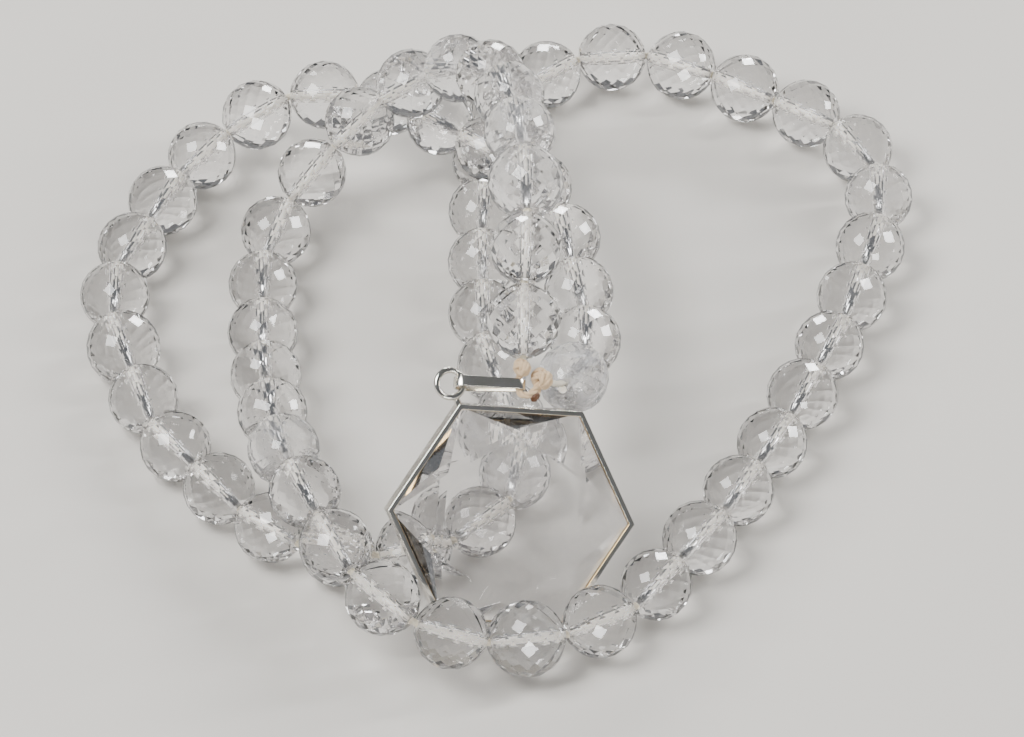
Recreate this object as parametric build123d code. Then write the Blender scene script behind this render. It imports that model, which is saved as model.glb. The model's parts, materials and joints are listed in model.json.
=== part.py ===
from build123d import *
import math
import os

# A strand of faceted rock-crystal prayer beads with a hexagonal crystal pendant, as it lies on a table
# in a loose pile. Millimetres, +Z up; the strand's first bead is the one beside the knot on the high run.

# --- driving dimensions -------------------------------------------------------------------------
BEAD = 9.71             # usual bead diameter, over the facets' corners
BEAD_SCATTER = 0.12     # how far usual beads stray from it
ODD_BEADS = {3: 10.18, 6: 9.58, 7: 9.58, 19: 9.98, 21: 10.28, 24: 10.08, 53: 10.28, 60: 9.48, 61: 9.38, 62: 9.38}
BEAD_COUNT = 67
PAIRS = [12, 14, 23, 25, 27, 29, 33, 39, 41, 50, 52, 55, 64]  # a straight pair starts at each of these
FACETS_AROUND = 14
FACET_ROWS = 6          # rows of corners on each side of a bead's waist
END_FLAT = 0.97         # height of a bead's end flats, as a share of its radius
CORD = 1.0              # cord diameter
CORD_PLAY = 0.08        # between the cord and a bore, all round
BEAD_GAP = 0.22         # between two balls that sit in line; their end flats leave more
LOOSE_GAP = 0.35        # the same where the strand lies loose
LOOSE_RUN = [*range(21, 45), *range(62, 67)]
BEND_REACH = 0.8        # a cord's bend starts this far from its corner

PENDANT_ACROSS = 33.5   # crystal and bezel, over the hexagon's corners
BEZEL_WALL = 0.7
BEZEL_DEPTH = 2.5
CRYSTAL_PLAY = 0.03     # between crystal and bezel
CRYSTAL_DEPTH = 4.4
GIRDLE = 1.4
TABLE_INSET = 3.0       # from the middle of a girdle side in to the table's corner
PENDANT_TILT = 51       # degrees from the table
PENDANT_TURN = -5.2     # degrees in its own plane
PENDANT_SWIVEL = 14     # degrees, its right side set back
PENDANT_CENTRE = Vector(-0.3, -35.4, 13.5)

RING_MEAN = 1.8         # radius of the ring's wire centre line
RING_WIRE = 0.42        # radius of the wire
RING_REACH = 19.5       # pendant centre to ring centre
RING_SIDE = 119.5       # degrees round the pendant, beside its upper left corner
RING_LEAN = 14          # degrees back from the pendant's face
SOLDER_NECK = 0.5       # radius of the solder between ring and bezel

BAIL_STRIP = 0.35       # thickness
BAIL_WIDTH = 1.4
BAIL_RING_EYE = 1.0     # inner radius of the bail's bend round the ring
BAIL_CORD_EYE = 0.58    # inner radius of the bail's bend round the cord
BAIL_TWIST = 26         # degrees, its upper edge leant back from the pendant's face

KNOT_EYE = Vector(0.85, -25.8, 28.3)    # where the cord's end loop goes through the bail
UPPER_LOBE = (Vector(1.3, -24.5, 30.3), 1.25)    # centres and radii of the knot's two lobes
SIDE_LOBE = (Vector(3.9, -24.9, 28.6), 1.55)
TAIL_TIP = Vector(3.0, -26.8, 27.2)     # the cord's burnt end, melted to a point
TAIL_RADII = (0.75, 0.35)
LOOP_REACH = 1.35       # the loop runs straight this far each side of the bail's middle
LOOP_RETURN = 2.0       # and comes back this far beyond it
LOOP_BEND = 0.55

# The strand's route from its first bead, over the pile, round the loops and back to its last bead.
ROUTE = [
    (1.5, -23.5, 31.0),
    (1.6, -15.0, 36.3),
    (2.0, -6.0, 40.6),
    (1.6, 4.2, 41.7),
    (0.5, 14.2, 39.6),
    (-1.3, 23.5, 36.5),
    (-4.6, 31.5, 31.6),
    (-10.3, 37.3, 25.7),
    (-17.3, 38.7, 19.4),
    (-24.5, 36.7, 12.2),
    (-31.0, 31.2, 6.5),
    (-34.3, 22.1, 4.5),
    (-34.6, 12.0, 4.8),
    (-33.0, -8.0, 7.6),
    (-29.2, -26.5, 13.7),
    (-25.6, -35.8, 14.4),
    (-20.8, -44.9, 12.8),
    (-13.3, -51.0, 10.3),
    (-3.7, -51.7, 6.9),
    (6.3, -49.1, 5.2),
    (15.6, -44.4, 5.1),
    (22.4, -35.9, 5.1),
    (33.0, -18.3, 5.0),
    (41.6, 0.0, 5.0),
    (48.8, 19.0, 5.0),
    (51.2, 29.1, 5.0),
    (51.1, 39.2, 5.0),
    (45.6, 48.1, 5.0),
    (37.0, 53.7, 5.0),
    (28.0, 58.6, 5.0),
    (18.8, 62.6, 5.0),
    (8.6, 61.4, 5.0),
    (0.4, 54.7, 5.0),
    (-3.6, 45.1, 5.0),
    (-4.2, 25.0, 5.0),
    (-3.8, 5.0, 5.0),
    (-1.3, -4.8, 5.0),
    (0.9, -14.8, 5.0),
    (-1.1, -24.9, 5.0),
    (-8.3, -31.7, 5.0),
    (-18.4, -34.6, 5.0),
    (-28.2, -32.6, 5.0),
    (-36.1, -26.3, 5.0),
    (-43.1, -19.0, 5.0),
    (-48.4, -10.5, 5.0),
    (-52.1, -1.0, 5.1),
    (-54.6, 9.0, 5.2),
    (-54.6, 19.0, 5.0),
    (-52.0, 28.8, 5.0),
    (-46.7, 37.5, 4.9),
    (-40.2, 45.0, 6.3),
    (-31.7, 49.4, 9.2),
    (-21.6, 49.0, 10.2),
    (-13.6, 43.8, 12.2),
    (-6.9, 36.4, 14.2),
    (0.7, 29.9, 14.9),
    (6.4, 21.7, 13.6),
    (8.8, 11.6, 13.1),
    (10.0, 1.4, 13.0),
    (9.7, -8.5, 14.4),
    (6.3, -17.6, 18.8),
    (4.0, -20.8, 22.0),
]

UP = Vector(0, 0, 1)
ASIDE = Vector(1, 0, 0)
SLOPE = Vector(0, math.cos(math.radians(PENDANT_TILT)), math.sin(math.radians(PENDANT_TILT)))
SQUARE_ON = ASIDE.cross(SLOPE)
FACING = SQUARE_ON * math.cos(math.radians(PENDANT_SWIVEL)) + ASIDE * math.sin(math.radians(PENDANT_SWIVEL))
ACROSS = SLOPE.cross(FACING)


def leant_back(angle):
    """The pendant's upward slope, leant back from its face."""
    return SLOPE * math.cos(math.radians(angle)) - FACING * math.sin(math.radians(angle))


def polyhedron(faces):
    """Closes flat faces, each a list of corners, into one solid."""
    return Solid(Shell([Face(Wire.make_polygon(corners)) for corners in faces]))


# --- beads --------------------------------------------------------------------------------------
def bead_size(number):
    """Beads differ a little, and a few are odd ones."""
    return ODD_BEADS.get(number, BEAD + BEAD_SCATTER * math.sin(2.4 * number))


def slack(number):
    """Gap after a bead, in line with the next one."""
    return LOOSE_GAP if number in LOOSE_RUN else BEAD_GAP


def row_latitudes():
    """Latitudes of the rows of corners, such that every four-cornered facet between them is flat."""
    half_step = math.pi / FACETS_AROUND
    rows = [0.0, half_step]
    while len(rows) <= FACET_ROWS:
        lower, middle = rows[-2:]
        start = Vector(math.cos(lower), math.sin(lower))
        across = Vector(math.cos(middle) * math.cos(half_step), math.sin(middle)) - start
        top = start - across * (2 * start.dot(across) / across.dot(across))
        rows.append(math.atan2(top.Y, top.X))
    return rows


def faceted_ball(size):
    """A ball of diamond-shaped facets. A ring of five-cornered ones leads to the flat round each end of its bore."""
    latitudes = row_latitudes()
    radius = size / 2
    end_height = END_FLAT * radius

    def corner(row, step):
        latitude = math.copysign(latitudes[abs(row)], row)
        longitude = math.tau * (step + row % 2 / 2) / FACETS_AROUND
        flat = math.cos(latitude)
        return Vector(flat * math.cos(longitude), flat * math.sin(longitude), math.sin(latitude)) * radius

    def end_corner(row, step):
        """Where the edge between two end facets, which starts at this corner, meets the end flat."""
        side = 1 if row > 0 else -1
        below = corner(row, step)
        facet_foot = math.cos(latitudes[-2]) * radius
        facet_middle = math.cos(latitudes[-1]) * math.cos(math.pi / FACETS_AROUND) * radius
        rise = (math.sin(latitudes[-1]) - math.sin(latitudes[-2])) * radius
        taper = (facet_foot - facet_middle) / rise * (end_height - abs(below.Z)) / facet_middle
        return Vector(below.X * (1 - taper), below.Y * (1 - taper), side * end_height)

    faces = []
    for step in range(FACETS_AROUND):
        for row in range(-FACET_ROWS, FACET_ROWS + 1):
            left = step - row % 2
            sides = [corner(row, left), corner(row, left + 1)]
            if abs(row) == FACET_ROWS:
                foot = corner(row - 1 if row > 0 else row + 1, step)
                faces.append([foot, sides[1], end_corner(row, left + 1), end_corner(row, left), sides[0]])
            else:
                faces.append([corner(row - 1, step), sides[1], corner(row + 1, step), sides[0]])
    for end in (-FACET_ROWS, FACET_ROWS):
        faces.append([end_corner(end, step) for step in range(FACETS_AROUND)])
    return polyhedron(faces)


def bead(number, centre, direction):
    """A bored bead on the strand. Each is spun on the cord by an angle of its own."""
    size = bead_size(number)
    drilled = faceted_ball(size) - Cylinder(CORD / 2 + CORD_PLAY, 2 * size)
    down = direction * direction.Z - UP
    turned = Rotation(0, 0, 137.5 * number % (360 / FACETS_AROUND))
    return Plane(origin=centre, x_dir=down, z_dir=direction) * turned * drilled


# --- the strand's run ---------------------------------------------------------------------------
def link_beads():
    """The beads on each straight link of the strand: one bead, or a pair."""
    links = []
    number = 1
    while number <= BEAD_COUNT:
        count = 2 if number in PAIRS else 1
        links.append(list(range(number, number + count)))
        number += count
    return links


def walk(route, lengths):
    """Steps along the route with a pair of dividers, each step one straight link long."""
    corners = [route.position_at(0)]
    place = 0.0
    for length in lengths:
        low = place
        high = min(1.0, place + 2 * length / route.length)
        while high - low > 1e-7:
            middle = (low + high) / 2
            if (route.position_at(middle) - corners[-1]).length < length:
                low = middle
            else:
                high = middle
        place = high
        corners.append(route.position_at(place))
    return corners


def lay_links(route, links):
    """Finds the links' ends. A gap opens between two beads where the strand bends."""
    gaps = [BEAD_GAP] * (len(links) + 1)
    for _ in range(4):
        lengths = []
        for before, after, numbers in zip(gaps, gaps[1:], links):
            beads = sum(bead_size(number) for number in numbers)
            between = sum(slack(number) for number in numbers[:-1])
            lengths.append(beads + between + (before + after) / 2)
        corners = walk(route, lengths)
        for place in range(1, len(links)):
            turn = (corners[place] - corners[place - 1]).get_angle(corners[place + 1] - corners[place])
            last = links[place - 1][-1]
            touch = (bead_size(last) + bead_size(last + 1)) / 2
            gaps[place] = (touch + slack(last)) / math.cos(math.radians(turn / 2)) - touch
    return corners, gaps


def bead_places(numbers, start, end, gap):
    """Centres and direction of the beads on one link."""
    direction = (end - start).normalized()
    reach = gap / 2
    places = []
    for number in numbers:
        reach += bead_size(number) / 2
        places.append((number, start + direction * reach, direction))
        reach += bead_size(number) / 2 + slack(number)
    return places


def cord_path(corners):
    """Straight through every bead, with a small bend at each gap."""
    radii = []
    for before, here, after in zip(corners, corners[1:], corners[2:]):
        turn = (here - before).get_angle(after - here)
        reach = min(BEND_REACH, 0.45 * (here - before).length, 0.45 * (after - here).length)
        radii.append(reach / math.tan(math.radians(turn / 2)))
    print(f"cord bend radii {min(radii):.2f} to {max(radii):.0f} mm")
    return FilletPolyline(*corners, radius=radii)


def round_cord(path):
    """A round section swept along a path."""
    return sweep(Plane(origin=path @ 0, z_dir=path % 0) * Circle(CORD / 2), path=path)



# --- pendant ------------------------------------------------------------------------------------
def hexagon_corners(radius, height, turned=0):
    """Six corners round the pendant's middle, at a height off its middle plane."""
    angles = [math.radians(60 * step + turned) for step in range(6)]
    return [Vector(radius * math.cos(angle), radius * math.sin(angle), height) for angle in angles]


def bezel():
    """A strip of sheet silver bent into a hexagon, open at front and back."""
    outside = RegularPolygon(PENDANT_ACROSS / 2, 6)
    inside = RegularPolygon(PENDANT_ACROSS / 2 - BEZEL_WALL / math.cos(math.radians(30)), 6)
    return extrude(outside - inside, BEZEL_DEPTH / 2, both=True)


def crystal():
    """A hexagonal crystal with the same facets front and back: two tables, turned against its thin girdle."""
    corner = PENDANT_ACROSS / 2 - (BEZEL_WALL + CRYSTAL_PLAY) / math.cos(math.radians(30))
    table = corner * math.cos(math.radians(30)) - TABLE_INSET
    upper = hexagon_corners(corner, GIRDLE / 2)
    lower = hexagon_corners(corner, -GIRDLE / 2)
    faces = [[lower[step - 1], lower[step], upper[step], upper[step - 1]] for step in range(6)]
    for girdle, height in ((upper, CRYSTAL_DEPTH / 2), (lower, -CRYSTAL_DEPTH / 2)):
        flat = hexagon_corners(table, height, 30)
        faces.append(flat)
        for step in range(6):
            faces.append([girdle[step - 1], girdle[step], flat[step - 1]])
            faces.append([girdle[step], flat[step - 1], flat[step]])
    return polyhedron(faces)


def bezel_ring(centre, facing, corner):
    """A closed ring of round silver wire with the solder that holds it to the bezel's corner."""
    wire = Plane(origin=centre, z_dir=facing) * Torus(RING_MEAN, RING_WIRE)
    towards = (corner - centre).normalized()
    start = centre + towards * RING_MEAN
    end = corner + towards * BEZEL_WALL / 2
    neck = Plane(origin=start, z_dir=towards) * Cylinder(
        SOLDER_NECK, (end - start).length, align=(Align.CENTER, Align.CENTER, Align.MIN)
    )
    return wire + neck


# --- bail and knot ------------------------------------------------------------------------------
def bail(ring_wire, cord_eye, width_direction):
    """A silver strip folded round the ring's wire, its ends brought together round the cord."""
    length = (ring_wire - cord_eye).length
    outline = []
    for extra in (BAIL_STRIP, 0):
        ends = Circle(BAIL_CORD_EYE + extra).edges() + (Pos(length, 0) * Circle(BAIL_RING_EYE + extra)).edges()
        outline.append(make_hull(ends))
    strip = extrude(outline[0] - outline[1], BAIL_WIDTH / 2, both=True)
    return Plane(origin=cord_eye, x_dir=ring_wire - cord_eye, z_dir=width_direction) * strip


def end_knot(width_direction, away_from_ring):
    """The cord's two ends tied together through the bail: two lobes, the loop between them and a burnt tail."""
    lobes = [Pos(*centre) * Sphere(radius) for centre, radius in (UPPER_LOBE, SIDE_LOBE)]
    above = KNOT_EYE + width_direction * LOOP_REACH
    below = KNOT_EYE - width_direction * LOOP_REACH
    beyond = below + away_from_ring * LOOP_RETURN
    loop = round_cord(FilletPolyline(UPPER_LOBE[0], above, below, beyond, SIDE_LOBE[0], radius=LOOP_BEND))
    along = TAIL_TIP - SIDE_LOBE[0]
    tail = Plane(origin=SIDE_LOBE[0] + along / 2, z_dir=along) * Cone(*TAIL_RADII, along.length)
    return lobes[0] + lobes[1] + loop + tail


# --- the whole strand ---------------------------------------------------------------------------
route = Spline(*ROUTE)
links = link_beads()
corners, gaps = lay_links(route, links)

nodes = {}
for numbers, start, end, gap in zip(links, corners, corners[1:], gaps):
    name = "bead_" if len(numbers) == 1 else "beads_"
    name += "_".join(f"{number:02d}" for number in numbers)
    nodes[name] = [bead(*place) for place in bead_places(numbers, start, end, gap)]
nodes["stringing_cord"] = [round_cord(cord_path([UPPER_LOBE[0], *corners, SIDE_LOBE[0]]))]

pendant = Plane(origin=PENDANT_CENTRE, x_dir=ACROSS, z_dir=FACING).location * Rotation(0, 0, PENDANT_TURN)
nodes["bezel"] = [pendant * bezel()]
nodes["crystal"] = [pendant * crystal()]

ring_angle = math.radians(RING_SIDE + PENDANT_TURN)
ring_centre = PENDANT_CENTRE + (ACROSS * math.cos(ring_angle) + SLOPE * math.sin(ring_angle)) * RING_REACH
ring_facing = ACROSS.cross(leant_back(RING_LEAN))
bezel_corner = (pendant * Pos(*hexagon_corners(PENDANT_ACROSS / 2, 0)[2])).position
nodes["bezel_ring"] = [bezel_ring(ring_centre, ring_facing, bezel_corner)]

ring_wire = ring_centre + ACROSS * RING_MEAN
to_ring = (ring_wire - KNOT_EYE).normalized()
bail_upright = leant_back(BAIL_TWIST)
bail_width = (bail_upright - to_ring * bail_upright.dot(to_ring)).normalized()
nodes["bail"] = [bail(ring_wire, KNOT_EYE, bail_width)]
nodes["end_knot"] = [end_knot(bail_width, -to_ring)]

box = Compound([solid for solids in nodes.values() for solid in solids]).bounding_box()
to_rest = Pos(-box.center().X, -box.center().Y, -box.min.Z)
os.makedirs("parts", exist_ok=True)
for name, solids in nodes.items():
    placed = [to_rest * solid for solid in solids]
    export_step(placed[0] if len(placed) == 1 else Compound(placed), f"parts/{name}.step")
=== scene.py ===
# A strand of faceted rock-crystal prayer beads with a hexagonal crystal pendant in a silver bezel, lying
# in a loose pile. Metres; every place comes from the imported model's joints and meshes.
import json
import math
import bmesh
import bpy
from mathutils import Matrix, Quaternion, Vector, noise


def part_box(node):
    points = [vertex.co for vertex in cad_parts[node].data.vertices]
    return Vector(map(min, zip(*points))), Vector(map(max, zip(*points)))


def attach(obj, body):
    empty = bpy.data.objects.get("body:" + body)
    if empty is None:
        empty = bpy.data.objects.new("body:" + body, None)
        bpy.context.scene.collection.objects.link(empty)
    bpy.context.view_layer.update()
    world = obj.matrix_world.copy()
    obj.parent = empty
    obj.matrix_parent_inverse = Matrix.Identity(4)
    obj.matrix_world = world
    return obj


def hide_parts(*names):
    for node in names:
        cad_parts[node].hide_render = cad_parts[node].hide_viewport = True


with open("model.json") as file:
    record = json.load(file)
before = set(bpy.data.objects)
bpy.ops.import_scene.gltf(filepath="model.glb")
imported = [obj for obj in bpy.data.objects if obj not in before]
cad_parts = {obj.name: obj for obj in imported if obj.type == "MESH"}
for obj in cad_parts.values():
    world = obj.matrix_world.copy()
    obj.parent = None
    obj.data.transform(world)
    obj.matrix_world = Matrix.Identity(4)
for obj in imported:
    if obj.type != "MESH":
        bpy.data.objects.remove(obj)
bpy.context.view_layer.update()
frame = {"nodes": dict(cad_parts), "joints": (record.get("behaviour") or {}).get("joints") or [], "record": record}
MM = 0.001

# --- camera -------------------------------------------------------------------------------------
# A long lens looks down on the pile from the pendant's side, far enough off that near and far beads
# look almost alike.
LOOK_DOWN = math.radians(45.72)
CAMERA_DISTANCE = 0.8852
SENSOR_WIDTH = 36
FOCAL_LENGTH = 228.8
AIM = Vector((0.00172, -0.00534, 0.00515))
looking = Vector((0, math.cos(LOOK_DOWN), -math.sin(LOOK_DOWN)))
camera_data = bpy.data.cameras.new("camera")
camera_data.sensor_width = SENSOR_WIDTH
camera_data.lens = FOCAL_LENGTH
camera_data.clip_start = 0.05
camera = bpy.data.objects.new("camera", camera_data)
camera.location = AIM - looking * CAMERA_DISTANCE
camera.rotation_euler = (math.pi / 2 - LOOK_DOWN, 0, 0)
bpy.context.scene.collection.objects.link(camera)
bpy.context.scene.camera = camera


def colour(hex_code):
    """An sRGB hex colour as linear red, green and blue, opaque."""
    channels = [int(hex_code[place:place + 2], 16) / 255 for place in (1, 3, 5)]
    linear = [c / 12.92 if c <= 0.04045 else ((c + 0.055) / 1.055) ** 2.4 for c in channels]
    return (*linear, 1.0)


def add_node(tree, kind, settings=None, links=None):
    """Adds a node, sets its inputs and properties by name and links outputs of other nodes to its inputs."""
    node = tree.nodes.new(kind)
    for name, value in (settings or {}).items():
        if name in node.inputs:
            node.inputs[name].default_value = value
        else:
            setattr(node, name, value)
    for name, output in (links or {}).items():
        tree.links.new(output, node.inputs[name])
    return node


def new_material(name):
    """A material with an empty node tree and its output node."""
    material = bpy.data.materials.new(name)
    material.use_nodes = True
    material.node_tree.nodes.clear()
    return material, material.node_tree, material.node_tree.nodes.new("ShaderNodeOutputMaterial")


# --- table and light ----------------------------------------------------------------------------
# A pale matt table top in soft studio light: a large softbox over the left shoulder, a long strip for
# crisp glints in the facets, and a dim room that leaves the crystal something dark to bend.
floor_material, tree, output = new_material("pale_table")
mottle = add_node(tree, "ShaderNodeTexNoise", {"Scale": 60.0, "Detail": 4.0})
tint = add_node(tree, "ShaderNodeMix", {"data_type": "RGBA"})
tint.inputs[6].default_value = colour("#CFCBC4")
tint.inputs[7].default_value = colour("#D6D2CB")
tree.links.new(mottle.outputs["Fac"], tint.inputs[0])
matt = add_node(tree, "ShaderNodeBsdfPrincipled", {"Roughness": 0.75}, {"Base Color": tint.outputs[2]})
tree.links.new(matt.outputs["BSDF"], output.inputs["Surface"])
floor_mesh = bpy.data.meshes.new("table_top")
TABLE_HALF = 1.5
TABLE_DROP = 0.00002    # below the lowest bead, so that the two faces don't coincide
quarters = [(-1, -1), (1, -1), (1, 1), (-1, 1)]
table_corners = [(TABLE_HALF * x, TABLE_HALF * y, 0) for x, y in quarters]
floor_mesh.from_pydata(table_corners, [], [(0, 1, 2, 3)])
floor_mesh.materials.append(floor_material)
floor = bpy.data.objects.new("table_top", floor_mesh)
floor.location.z = -TABLE_DROP
bpy.context.scene.collection.objects.link(floor)

world = bpy.data.worlds.new("dim_room")
world.use_nodes = True
world.node_tree.nodes["Background"].inputs["Color"].default_value = colour("#C6CBD2")
world.node_tree.nodes["Background"].inputs["Strength"].default_value = 0.22
bpy.context.scene.world = world


def softbox(name, place, aim, width, height, watts):
    """A rectangular area light that faces a point."""
    data = bpy.data.lights.new(name, "AREA")
    data.shape = "RECTANGLE"
    data.size = width
    data.size_y = height
    data.energy = watts
    light = bpy.data.objects.new(name, data)
    light.location = place
    light.rotation_euler = (Vector(aim) - Vector(place)).to_track_quat("-Z", "Y").to_euler()
    bpy.context.scene.collection.objects.link(light)


softbox("key_softbox", (-0.35, -0.15, 0.6), (0, 0, 0), 0.35, 0.35, 7.0)
softbox("strip_right", (0.5, 0.1, 0.35), (0, 0, 0.01), 0.06, 0.5, 3.0)
softbox("back_strip", (0.05, 0.6, 0.3), (0, 0, 0.01), 0.5, 0.05, 3.5)
softbox("low_front", (0.1, -0.6, 0.15), (0, 0, 0.02), 0.25, 0.06, 1.2)

# --- beads --------------------------------------------------------------------------------------
# Each bead is clear rock crystal, cut with diamond-shaped facets and polished, then drilled. A few are
# veiled by healed cracks. The cut shape is the CAD model's own; it gets the stone's finish here.
CLOUDY_BEADS = {
    3: 0.22, 4: 0.28, 5: 0.2, 7: 0.2, 8: 0.15, 16: 0.25, 21: 0.18, 31: 0.15, 45: 0.25, 60: 0.15, 67: 0.6,
}
CLEAR_BEAD = 0.05       # veil of all the others
VEIL_SIZE = 3.0 * MM    # across one milky patch in the stone


def quartz(name, veil):
    """Polished clear quartz: sharp reflections, IOR 1.544, milky where healed cracks veil it."""
    material, tree, output = new_material(name)
    place = add_node(tree, "ShaderNodeTexCoord")
    patches = add_node(
        tree, "ShaderNodeTexNoise",
        {"Scale": 1 / VEIL_SIZE, "Detail": 6.0, "Roughness": 0.62, "Distortion": 1.2},
        {"Vector": place.outputs["Object"]},
    )
    mask = add_node(
        tree, "ShaderNodeMapRange",
        {"From Min": 0.38, "From Max": 0.78, "To Min": 0.0, "To Max": veil},
        {"Value": patches.outputs["Fac"]},
    )
    clear = add_node(
        tree, "ShaderNodeMapRange", {"From Min": 0.0, "From Max": 1.0, "To Min": 1.0, "To Max": 0.0},
        {"Value": mask.outputs["Result"]},
    )
    rough = add_node(
        tree, "ShaderNodeMapRange", {"From Min": 0.0, "From Max": 1.0, "To Min": 0.004, "To Max": 0.35},
        {"Value": mask.outputs["Result"]},
    )
    stone = add_node(
        tree, "ShaderNodeBsdfPrincipled",
        {"Base Color": colour("#F7F6F6"), "IOR": 1.544},
        {"Transmission Weight": clear.outputs["Result"], "Roughness": rough.outputs["Result"]},
    )
    tree.links.new(stone.outputs["BSDF"], output.inputs["Surface"])
    return material


def finish(node, material):
    """Gives a CAD node's object one material in place of its own."""
    node.data.materials.clear()
    node.data.materials.append(material)


def bead_numbers(node_name):
    return [int(part) for part in node_name.split("_")[1:]]


quartz_grades = {}
spins = [joint for joint in frame["joints"] if joint["name"].endswith("_spin")]
spins.sort(key=lambda joint: bead_numbers(joint["child"])[0])
for joint in spins:
    veil = max(CLOUDY_BEADS.get(number, CLEAR_BEAD) for number in bead_numbers(joint["child"]))
    if veil not in quartz_grades:
        quartz_grades[veil] = quartz(f"rock_crystal_veil_{round(veil * 100)}", veil)
    finish(frame["nodes"][joint["child"]], quartz_grades[veil])


# --- bores --------------------------------------------------------------------------------------
# Each bead is drilled from both ends with a diamond tube drill, which leaves a frosted white wall. The wall
# also has a painted glow: a faint emission that stands in for the light the stone gathers into it.
BORE_RADIUS = 0.565 * MM
BORE_SIDES = 24
SLEEVE_WALL = 0.03 * MM
GRIT_SIZE = 0.25 * MM   # one pit of the ground wall
GRIT_DEPTH = 0.02 * MM


def bead_spans(joint):
    """Where each bead of a link starts and ends along its bore, measured from the joint's place."""
    centre = Vector(joint["pos_m"])
    axis = Vector(joint["axis"]).normalized()
    reach = [(vertex.co - centre).dot(axis) for vertex in frame["nodes"][joint["child"]].data.vertices]
    if len(bead_numbers(joint["child"])) == 1:
        return centre, axis, [(min(reach), max(reach))]
    low = [value for value in reach if value < 0]
    high = [value for value in reach if value > 0]
    return centre, axis, [(min(low), max(low)), (min(high), max(high))]


def tube_mesh(name, rings, closed_ends=False):
    """Skins a list of rings of points, all of one length, into a mesh."""
    sides = len(rings[0])
    points = [point for ring in rings for point in ring]
    faces = []
    for row in range(len(rings) - 1):
        for side in range(sides):
            beside = (side + 1) % sides
            here = row * sides
            above = here + sides
            faces.append((here + side, here + beside, above + beside, above + side))
    if closed_ends:
        faces.append(tuple(reversed(range(sides))))
        faces.append(tuple(range((len(rings) - 1) * sides, len(rings) * sides)))
    mesh = bpy.data.meshes.new(name)
    mesh.from_pydata(points, [], faces)
    return mesh


def new_piece(name, mesh, material, smooth=True):
    """An object for a mesh, with its material."""
    mesh.materials.append(material)
    mesh.polygons.foreach_set("use_smooth", [smooth] * len(mesh.polygons))
    piece = bpy.data.objects.new(name, mesh)
    bpy.context.scene.collection.objects.link(piece)
    return piece


# Ground quartz scatters light like frosted glass, and a painted glow (emission) brightens it, so each bore reads
# as a pale band across its bead.
frosted_painted_glow, tree, output = new_material("ground_quartz_bore_painted_glow")
place = add_node(tree, "ShaderNodeTexCoord")
grit = add_node(
    tree, "ShaderNodeTexNoise", {"Scale": 1 / GRIT_SIZE, "Detail": 3.0}, {"Vector": place.outputs["Object"]},
)
rise = add_node(
    tree, "ShaderNodeBump", {"Strength": 0.4, "Distance": GRIT_DEPTH}, {"Height": grit.outputs["Fac"]},
)
# Painted glow: Emission Color and Emission Strength make the frosted wall shine on its own, in place of the light
# the stone gathers into it.
ground = add_node(
    tree, "ShaderNodeBsdfPrincipled",
    {
        "Base Color": colour("#FFFCF4"), "Roughness": 0.7, "Transmission Weight": 0.1, "IOR": 1.544,
        "Emission Color": colour("#FFF8EC"), "Emission Strength": 0.3,
    },
    {"Normal": rise.outputs["Normal"]},
)
tree.links.new(ground.outputs["BSDF"], output.inputs["Surface"])

mouths = []
for joint in spins:
    centre, axis, spans = bead_spans(joint)
    aside = axis.orthogonal().normalized()
    upward = axis.cross(aside)
    mouths.append((centre + axis * spans[0][0], centre + axis * spans[-1][1]))
    for number, (start, end) in zip(bead_numbers(joint["child"]), spans):
        rings = []
        inside = BORE_RADIUS - SLEEVE_WALL
        outline = [(start, BORE_RADIUS), (end, BORE_RADIUS), (end, inside), (start, inside)]
        for along, radius in outline + outline[:1]:
            middle = centre + axis * along
            ring = []
            for side in range(BORE_SIDES):
                angle = math.tau * side / BORE_SIDES
                ring.append(middle + (aside * math.cos(angle) + upward * math.sin(angle)) * radius)
            rings.append(ring)
        sleeve = new_piece(f"bore_{number:02d}", tube_mesh(f"bore_{number:02d}", rings), frosted_painted_glow)
        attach(sleeve, joint["child"])

# --- stringing cord -----------------------------------------------------------------------------
# One cream cord of three twisted plies runs through every bead and on into the knot. It is waxed
# cotton, matt with a faint sheen, and fine fibres run along each ply.
CORD_RADIUS = 0.5 * MM
PLY_RADIUS = 0.27 * MM
PLY_SIDES = 8
PLY_TWIST = 3.2 * MM    # along the cord for one full turn of the plies
FIBRE_RISE = 0.05 * MM
eye = next(joint for joint in frame["joints"] if joint["name"] == "bail_on_cord")
eye_place = Vector(eye["pos_m"])
eye_axis = Vector(eye["axis"]).normalized()
UPPER_LOBE = eye_place + Vector((0.45, 1.3, 2.0)) * MM
SIDE_LOBE = eye_place + Vector((3.05, 0.9, 0.3)) * MM


def fibre(name, light, dark, along_grain):
    """Twisted cotton: matt, its tone varying along fine fibres, with painted shade where the colour darkens in the
    fibre bump's grooves, and the fibres as bump.
    """
    material, tree, output = new_material(name)
    place = add_node(tree, "ShaderNodeTexCoord")
    fibres = add_node(
        tree, "ShaderNodeTexNoise", {"Scale": 1 / (along_grain * MM), "Detail": 5.0, "Roughness": 0.7},
        {"Vector": place.outputs["Object"]},
    )
    # Painted shade: the fibre noise that raises the bump also picks the colour, so the dark tone sits in the
    # bump's grooves.
    shade = add_node(tree, "ShaderNodeMix", {"data_type": "RGBA"})
    shade.inputs[6].default_value = colour(dark)
    shade.inputs[7].default_value = colour(light)
    tree.links.new(fibres.outputs["Fac"], shade.inputs[0])
    rise = add_node(
        tree, "ShaderNodeBump", {"Strength": 0.6, "Distance": FIBRE_RISE}, {"Height": fibres.outputs["Fac"]},
    )
    cotton = add_node(
        tree, "ShaderNodeBsdfPrincipled", {"Roughness": 0.8, "Sheen Weight": 0.3},
        {"Base Color": shade.outputs[2], "Normal": rise.outputs["Normal"]},
    )
    tree.links.new(cotton.outputs["BSDF"], output.inputs["Surface"])
    return material


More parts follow.
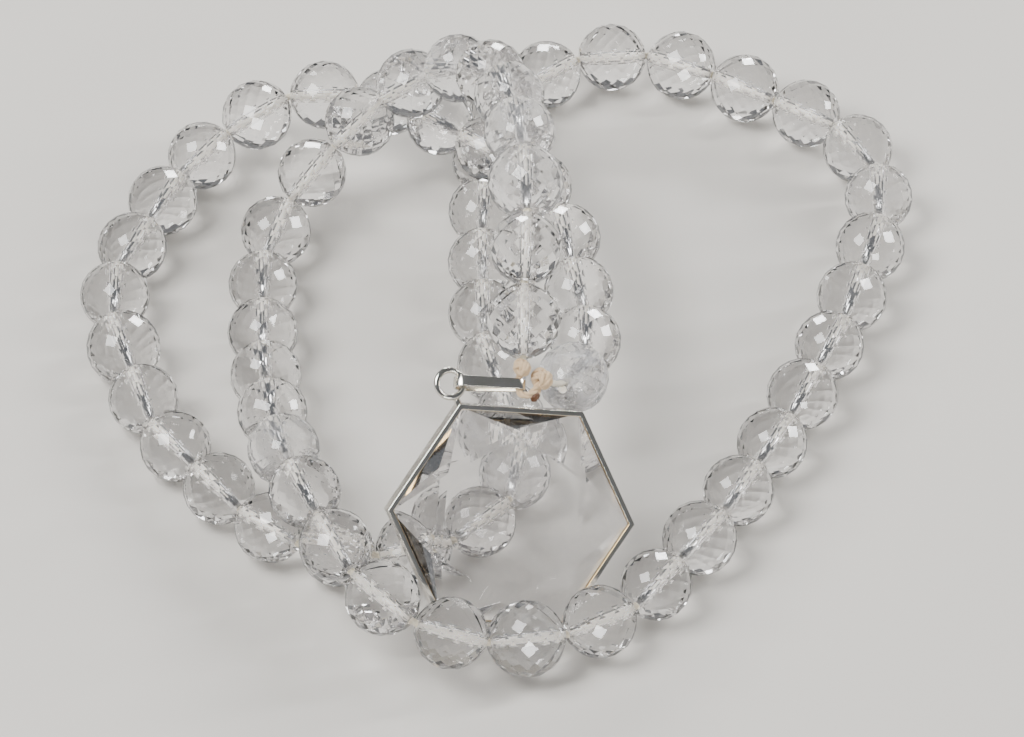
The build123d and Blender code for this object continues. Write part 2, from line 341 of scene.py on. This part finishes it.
def spline_points(points):
    """Points along the smooth spline that a few guiding points give."""
    data = bpy.data.curves.new("guide", "CURVE")
    data.dimensions = "3D"
    data.resolution_u = 10
    spline = data.splines.new("NURBS")
    spline.points.add(len(points) - 1)
    for slot, point in zip(spline.points, points):
        slot.co = (*point, 1)
    spline.order_u = 3
    spline.use_endpoint_u = True
    guide = bpy.data.objects.new("guide", data)
    line = bpy.data.meshes.new_from_object(guide)
    found = [vertex.co.copy() for vertex in line.vertices]
    bpy.data.objects.remove(guide)
    bpy.data.curves.remove(data)
    bpy.data.meshes.remove(line)
    return found


def carried_frames(points):
    """Two directions across the line at each point, carried along it without twist."""
    frames = []
    aside = (points[1] - points[0]).orthogonal().normalized()
    for number, point in enumerate(points):
        ahead = (points[min(number + 1, len(points) - 1)] - points[max(number - 1, 0)]).normalized()
        aside = (aside - ahead * aside.dot(ahead)).normalized()
        frames.append((aside, ahead.cross(aside)))
    return frames


def twisted_cord(name, points, material):
    """Three plies twisted about a line, as one mesh."""
    frames = carried_frames(points)
    offset = CORD_RADIUS - PLY_RADIUS
    joined = bmesh.new()
    for ply in range(3):
        rings = []
        run = 0.0
        for number, (point, (aside, upward)) in enumerate(zip(points, frames)):
            if number:
                run += (point - points[number - 1]).length
            angle = math.tau * (ply / 3 + run / PLY_TWIST)
            middle = point + (aside * math.cos(angle) + upward * math.sin(angle)) * offset
            ring = []
            for side in range(PLY_SIDES):
                turn = math.tau * side / PLY_SIDES
                ring.append(middle + (aside * math.cos(turn) + upward * math.sin(turn)) * PLY_RADIUS)
            rings.append(ring)
        part = tube_mesh(f"{name}_ply", rings, closed_ends=True)
        joined.from_mesh(part)
        bpy.data.meshes.remove(part)
    mesh = bpy.data.meshes.new(name)
    joined.to_mesh(mesh)
    joined.free()
    return new_piece(name, mesh, material)


cream_cotton = fibre("cream_waxed_cotton", "#F2ECDC", "#DCD0B8", 0.12)
guides = [UPPER_LOBE]
for entering, leaving in mouths:
    guides += [entering, leaving]
guides.append(SIDE_LOBE)
cord = twisted_cord("cord_plies", spline_points(guides), cream_cotton)
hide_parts("stringing_cord")
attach(cord, "strand")

# --- end knot -----------------------------------------------------------------------------------
# The cord's two ends are tied over the bail in two tight lumps, and the cut end is melted to a brown
# bead so that it can't fray. Handling has made the knot beige and a little fuzzy.
SCORCH_SIZE = 0.5 * MM
WRAP_LIFT = 0.18 * MM   # how far one turn strays from a flat circle
LOOP_REACH = 1.35 * MM  # to each side of the bail's eye
LOOP_RETURN = 2.0 * MM  # behind it, on the way back to the side lump
TIP_RADIUS = 0.62 * MM
TIP_LUMP = 0.5 * MM
knot_cotton = fibre("handled_cotton_knot", "#E9D6B4", "#B98E5F", 0.18)
# Scorched wax and fibre: dark brown, uneven and a little glossy, a small dark spot against the knot.
burnt, tree, output = new_material("melted_cord_end")
place = add_node(tree, "ShaderNodeTexCoord")
scorch = add_node(
    tree, "ShaderNodeTexNoise",
    {"Scale": 1 / SCORCH_SIZE, "Detail": 4.0},
    {"Vector": place.outputs["Object"]},
)
char = add_node(tree, "ShaderNodeMix", {"data_type": "RGBA"})
char.inputs[6].default_value = colour("#2A1408")
char.inputs[7].default_value = colour("#7A4A22")
tree.links.new(scorch.outputs["Fac"], char.inputs[0])
glaze = add_node(tree, "ShaderNodeBsdfPrincipled", {"Roughness": 0.35}, {"Base Color": char.outputs[2]})
tree.links.new(glaze.outputs["BSDF"], output.inputs["Surface"])


def wrap(name, centre, radius, pole):
    """A turn of cord round a lump of the knot, leant over so that its ends tuck under."""
    pole = Vector(pole).normalized()
    aside = pole.orthogonal().normalized()
    upward = pole.cross(aside)
    points = []
    for step in range(41):
        angle = math.tau * step / 40
        squeeze = 1 - 0.12 * math.cos(2 * angle)
        outwards = aside * math.cos(angle) + upward * math.sin(angle)
        points.append(centre + outwards * radius * squeeze + pole * WRAP_LIFT * math.sin(angle * 1.5))
    return twisted_cord(name, points, knot_cotton)


lumps = [("upper", UPPER_LOBE, 0.72 * MM), ("side", SIDE_LOBE, 0.98 * MM)]
knot_pieces = []
poles = [(1, 0.2, 0.3), (-0.2, 1, 0.4), (0.3, -0.5, 1), (-0.7, -0.4, 0.6)]
for lump, centre, radius in lumps:
    for number, pole in enumerate(poles):
        knot_pieces.append(wrap(f"knot_{lump}_turn_{number + 1}", centre, radius, pole))
hinge = next(joint for joint in frame["joints"] if joint["name"] == "pendant_on_bail")
pin = Vector(hinge["pos_m"])
bail_run = pin - eye_place
bail_run -= eye_axis * bail_run.dot(eye_axis)
towards_ring = bail_run.normalized()
upper_side = eye_place + eye_axis * LOOP_REACH
lower_side = eye_place - eye_axis * LOOP_REACH
loop = [UPPER_LOBE, upper_side, lower_side, lower_side - towards_ring * LOOP_RETURN, SIDE_LOBE]
knot_pieces.append(twisted_cord("knot_loop", spline_points(loop), knot_cotton))
tip = eye_place + Vector((2.15, -1.0, -1.1)) * MM
tail = [SIDE_LOBE.lerp(tip, share) for share in (0.25, 0.55, 0.85)]
knot_pieces.append(twisted_cord("knot_tail", spline_points(tail), knot_cotton))
melted = bmesh.new()
bmesh.ops.create_icosphere(melted, subdivisions=4, radius=TIP_RADIUS)
for vertex in melted.verts:
    vertex.co *= 1 + 0.28 * noise.noise(vertex.co / TIP_LUMP)
    vertex.co.z *= 1.15
melted_mesh = bpy.data.meshes.new("melted_tip")
melted.to_mesh(melted_mesh)
melted.free()
turned = (tip - SIDE_LOBE).to_track_quat("Z", "Y").to_matrix().to_4x4()
melted_mesh.transform(Matrix.Translation(tip) @ turned)
knot_pieces.append(new_piece("melted_tip", melted_mesh, burnt))
for piece in knot_pieces:
    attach(piece, "strand")
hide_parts("end_knot")

# --- bail ---------------------------------------------------------------------------------------
# A strip of sterling silver sheet, folded into a long loop through the ring and round the cord, and
# polished. Handling has left fine scratches on it.
BAIL_STRIP = 0.35 * MM
BAIL_HALF_WIDTH = 0.7 * MM
CORD_EYE = 0.58 * MM    # inside radius round the cord
RING_EYE = 1.0 * MM     # and round the ring's wire
EASED = 0.07 * MM
SCRATCH = 0.15 * MM
SCRATCH_DEPTH = 0.01 * MM
TARNISH = 2.5 * MM      # across one faintly darker patch


def polished(name, tone, warm, roughness):
    """Polished silver: bright, with fine scratches that spread its reflections."""
    material, tree, output = new_material(name)
    place = add_node(tree, "ShaderNodeTexCoord")
    scratches = add_node(
        tree, "ShaderNodeTexNoise",
        {"Scale": 1 / SCRATCH, "Detail": 8.0, "Roughness": 0.75, "Distortion": 3.0},
        {"Vector": place.outputs["Object"]},
    )
    tarnish = add_node(
        tree, "ShaderNodeTexNoise",
        {"Scale": 1 / TARNISH, "Detail": 3.0},
        {"Vector": place.outputs["Object"]},
    )
    shade = add_node(tree, "ShaderNodeMix", {"data_type": "RGBA"})
    shade.inputs[6].default_value = colour(tone)
    shade.inputs[7].default_value = colour(warm)
    tree.links.new(tarnish.outputs["Fac"], shade.inputs[0])
    spread = add_node(
        tree, "ShaderNodeMapRange",
        {"From Min": 0.3, "From Max": 0.7, "To Min": roughness, "To Max": roughness * 2.2},
        {"Value": scratches.outputs["Fac"]},
    )
    rise = add_node(
        tree, "ShaderNodeBump",
        {"Strength": 0.12, "Distance": SCRATCH_DEPTH},
        {"Height": scratches.outputs["Fac"]},
    )
    metal = add_node(
        tree, "ShaderNodeBsdfPrincipled", {"Metallic": 1.0},
        {
            "Base Color": shade.outputs[2],
            "Roughness": spread.outputs["Result"],
            "Normal": rise.outputs["Normal"],
        },
    )
    tree.links.new(metal.outputs["BSDF"], output.inputs["Surface"])
    return material


bright_silver = polished("polished_silver", "#F2F0EB", "#DAD5C8", 0.1)


def ease_edges(piece, width):
    """Rounds a piece's edges a little and keeps its flats flat, as polishing does."""
    rounding = piece.modifiers.new("eased_edges", "BEVEL")
    rounding.width = width
    rounding.segments = 3
    rounding.limit_method = "ANGLE"
    rounding.angle_limit = math.radians(35)
    piece.modifiers.new("flat_flats", "WEIGHTED_NORMAL")


bail_up = eye_axis.cross(towards_ring)
tangent = math.acos((CORD_EYE - RING_EYE) / bail_run.length)
bends = [(pin, RING_EYE, -tangent, tangent), (eye_place, CORD_EYE, tangent, math.tau - tangent)]
rings = []
for centre, radius, first, last in bends:
    for step in range(33):
        angle = first + (last - first) * step / 32
        outwards = towards_ring * math.cos(angle) + bail_up * math.sin(angle)
        inner = centre + outwards * radius
        outer = inner + outwards * BAIL_STRIP
        side = eye_axis * BAIL_HALF_WIDTH
        rings.append([inner - side, outer - side, outer + side, inner + side])
rings.append(rings[0])
bail = new_piece("folded_bail", tube_mesh("folded_bail", rings), bright_silver)
ease_edges(bail, EASED)
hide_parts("bail")
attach(bail, "bail")

# --- bezel --------------------------------------------------------------------------------------
# A strip of thin sheet silver bent into a hexagon round the crystal and soldered shut at one corner.
# The polished rim is bright, and the wall inside keeps a warm, faintly tarnished tone.
BEZEL_WALL = 0.7 * MM
BEZEL_DEPTH = 2.5 * MM
table = next(mount for mount in frame["record"]["mounts"] if mount["name"] == "crystal_table")
facing = Vector(table["axis"]).normalized()
slope = facing.cross(Vector((1, 0, 0))).normalized()
across = slope.cross(facing)
bezel_low, bezel_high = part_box("bezel")
bezel_centre = (Vector(bezel_low) + Vector(bezel_high)) / 2
spokes = []
for vertex in frame["nodes"]["bezel"].data.vertices:
    spoke = vertex.co - bezel_centre
    spokes.append(spoke - facing * spoke.dot(facing))
corner = max(spokes, key=lambda spoke: spoke.length)
inner_share = 1 - BEZEL_WALL / math.cos(math.radians(30)) / corner.length
rings = []
for step in range(7):
    spoke = Quaternion(facing, math.radians(60 * step)) @ corner
    back = bezel_centre - facing * BEZEL_DEPTH / 2
    front = bezel_centre + facing * BEZEL_DEPTH / 2
    rings.append([back + spoke, front + spoke, front + spoke * inner_share, back + spoke * inner_share])
bezel = new_piece("hexagon_bezel", tube_mesh("hexagon_bezel", rings), bright_silver)
bezel.data.materials.append(polished("tarnished_silver", "#EBD3A4", "#C99E5C", 0.2))
for polygon in bezel.data.polygons:
    if polygon.index % 4 == 2:
        polygon.material_index = 1
weld = bezel.modifiers.new("closed_loop", "WELD")
weld.merge_threshold = 0.001 * MM
ease_edges(bezel, 0.12 * MM)
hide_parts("bezel")
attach(bezel, "pendant")

# --- ring ---------------------------------------------------------------------------------------
# A closed ring of round silver wire, stood on the bezel's corner and held by a small pool of solder,
# which has flowed up the wire and a little way along the rim.
RING_MEAN = 1.8 * MM
WIRE_RADIUS = 0.42 * MM
RING_LEAN = math.radians(14)
ring_centre = pin - across * RING_MEAN
ring_normal = across.cross(slope * math.cos(RING_LEAN) - facing * math.sin(RING_LEAN)).normalized()
ring_up = ring_normal.cross(across)
rings = []
for step in range(97):
    angle = math.tau * step / 96
    outwards = across * math.cos(angle) + ring_up * math.sin(angle)
    ring = []
    for side in range(16):
        turn = math.tau * side / 16
        reach = RING_MEAN + WIRE_RADIUS * math.cos(turn)
        ring.append(ring_centre + outwards * reach + ring_normal * WIRE_RADIUS * math.sin(turn))
    rings.append(ring)
wire = tube_mesh("wire_ring", rings)
joined = bmesh.new()
joined.from_mesh(wire)
bpy.data.meshes.remove(wire)
bmesh.ops.remove_doubles(joined, verts=joined.verts, dist=0.001 * MM)
seats = [Quaternion(facing, math.radians(60 * step)) @ corner + bezel_centre for step in range(6)]
seat = min(seats, key=lambda place: (place - ring_centre).length)
seat = seat.lerp(bezel_centre, 0.03)
foot = ring_centre + (seat - ring_centre).normalized() * RING_MEAN
lean = (seat - foot).normalized()
aside = lean.orthogonal().normalized()
upward = lean.cross(aside)
rings = []
for share, radius in ((0.0, 0.42), (0.25, 0.46), (0.5, 0.47), (0.75, 0.5), (1.0, 0.56), (1.15, 0.5)):
    ring = []
    for side in range(20):
        turn = math.tau * side / 20
        ring.append(foot.lerp(seat, share) + (aside * math.cos(turn) + upward * math.sin(turn)) * radius * MM)
    rings.append(ring)
solder = tube_mesh("solder", rings, closed_ends=True)
joined.from_mesh(solder)
bpy.data.meshes.remove(solder)
ring_mesh = bpy.data.meshes.new("wire_ring")
joined.to_mesh(ring_mesh)
joined.free()
ring = new_piece("wire_ring", ring_mesh, bright_silver)
melt = ring.modifiers.new("solder_flow", "REMESH")
melt.mode = "VOXEL"
melt.voxel_size = 0.05 * MM
melt.use_smooth_shade = True
flow = ring.modifiers.new("flowed", "SMOOTH")
flow.factor = 0.5
flow.iterations = 6
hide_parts("bezel_ring")
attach(ring, "pendant")

# --- crystal ------------------------------------------------------------------------------------
# The pendant's stone is the same clear quartz, cut as a flat hexagon with large facets front and back.
finish(frame["nodes"]["crystal"], quartz("pendant_rock_crystal", 0.06))
